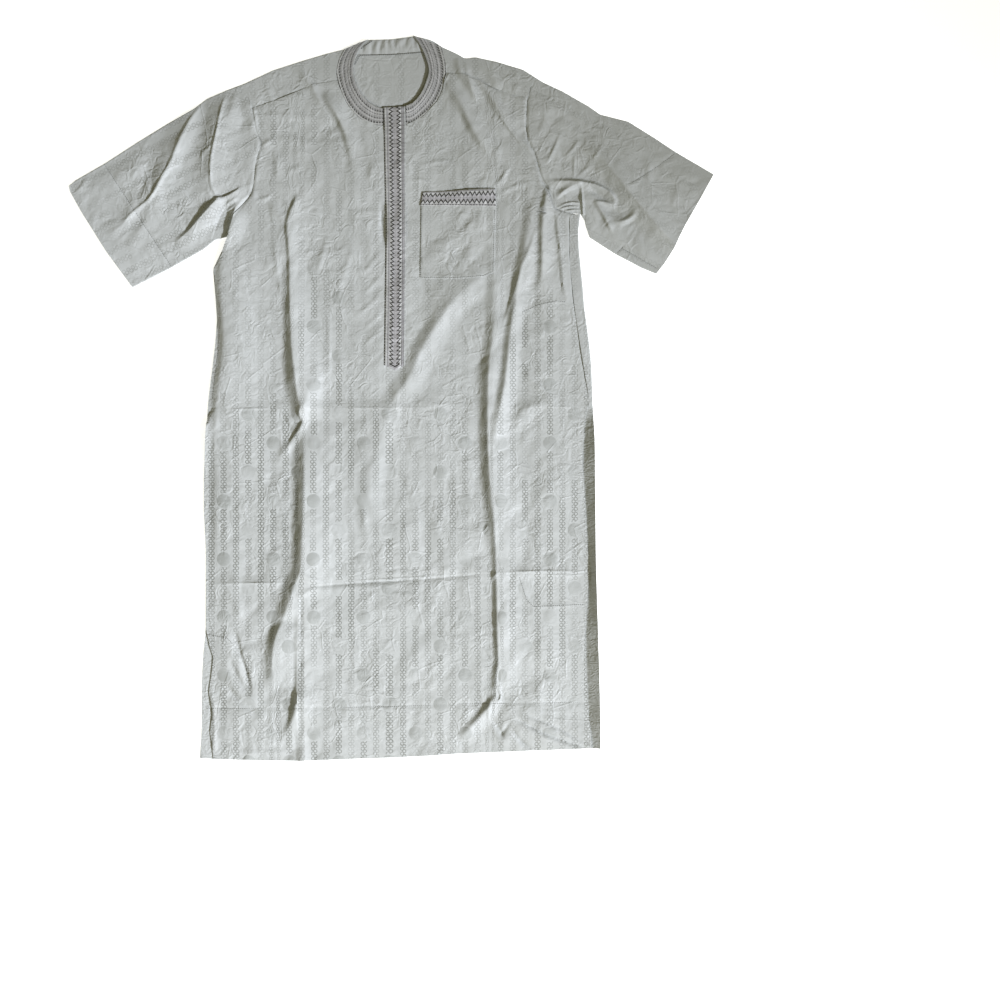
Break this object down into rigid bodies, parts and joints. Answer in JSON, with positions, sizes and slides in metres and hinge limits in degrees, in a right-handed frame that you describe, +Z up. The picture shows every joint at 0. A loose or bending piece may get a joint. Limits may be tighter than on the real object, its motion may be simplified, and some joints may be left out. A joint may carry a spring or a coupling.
{
  "type": "short-sleeved boubou tunic",
  "caption": "Knee-length short-sleeved boubou tunic in damask cotton, laid flat, with a band collar, embroidered placket and chest pocket.",
  "frame": {"origin": "centre of the laid-out tunic's outline, on the surface it lies on", "axes": "+Y runs from the hem to the neck, +X to the wearer's left as the front faces up, +Z up out of the front"},
  "size_m": [0.9786, 1.1001, 0.0159],
  "materials": {
    "damask_cotton": "polished damask cotton, satin sheen",
    "embroidered_cotton": "dense satin stitch over stiffened cotton"
  },
  "bodies": {
    "root": {"back": "damask_cotton", "front": "damask_cotton", "sleeve_left": "damask_cotton", "sleeve_right": "damask_cotton", "chest_pocket": "damask_cotton", "collar": "embroidered_cotton", "placket": "embroidered_cotton"}
  },
  "joints": []
}
